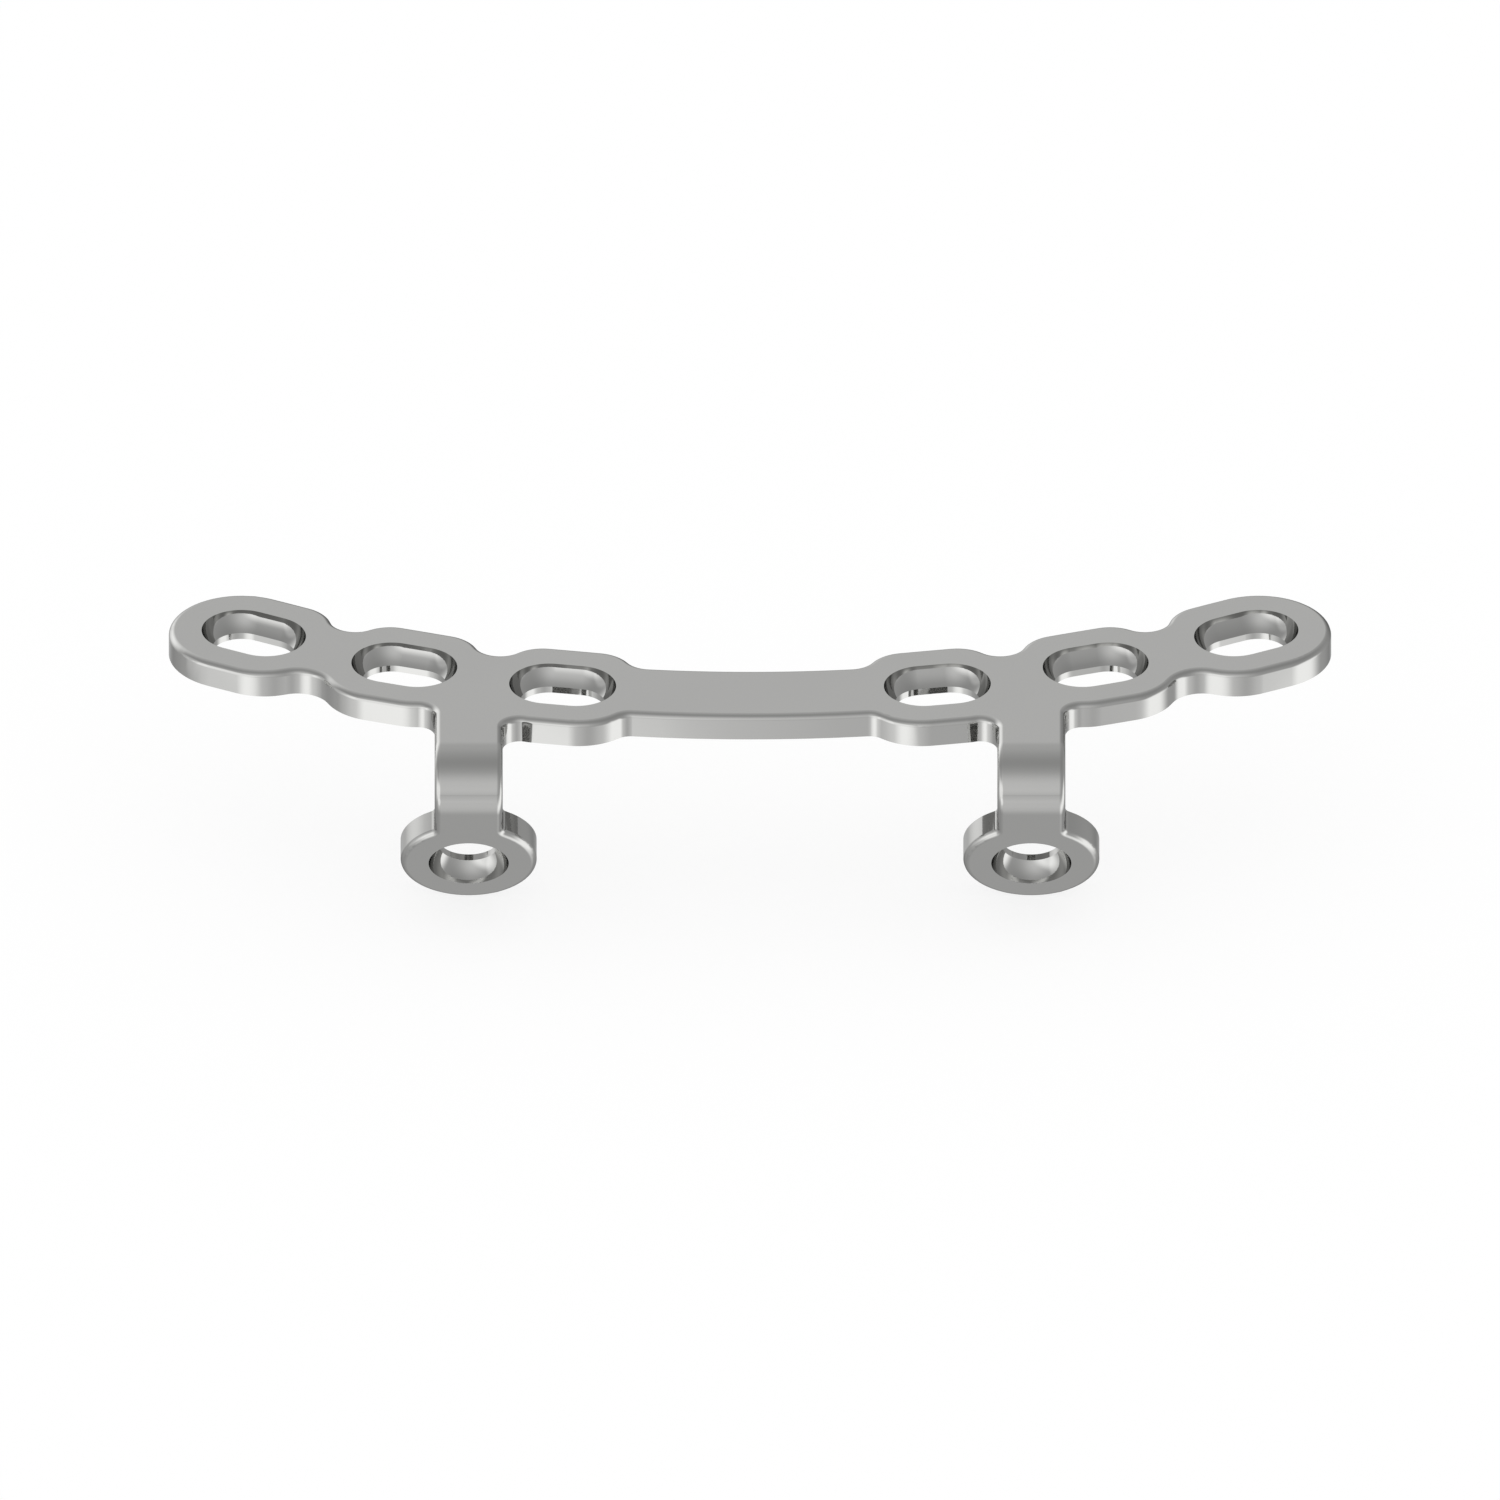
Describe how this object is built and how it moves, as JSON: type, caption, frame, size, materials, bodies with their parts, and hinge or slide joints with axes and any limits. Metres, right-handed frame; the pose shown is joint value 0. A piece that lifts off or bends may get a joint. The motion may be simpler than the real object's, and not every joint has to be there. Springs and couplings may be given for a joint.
{
  "type": "orthopedic bone plate",
  "caption": "Curved flat bone plate with scalloped edges, slotted countersunk screw holes, a plain middle bar and arms bent down to round screw rings.",
  "frame": {"origin": "on the bone face, under the middle of the bar, on the curved centre line", "axes": "+X along the plate, +Y towards the centre of its curve, away from the arms, +Z out of the face that takes the screw heads"},
  "size_m": [0.0854, 0.0248, 0.015],
  "materials": {
    "implant_steel": "tumbled to a soft polish, with turned screw seats"
  },
  "bodies": {
    "root": {"bone_plate": "implant_steel"}
  },
  "joints": []
}
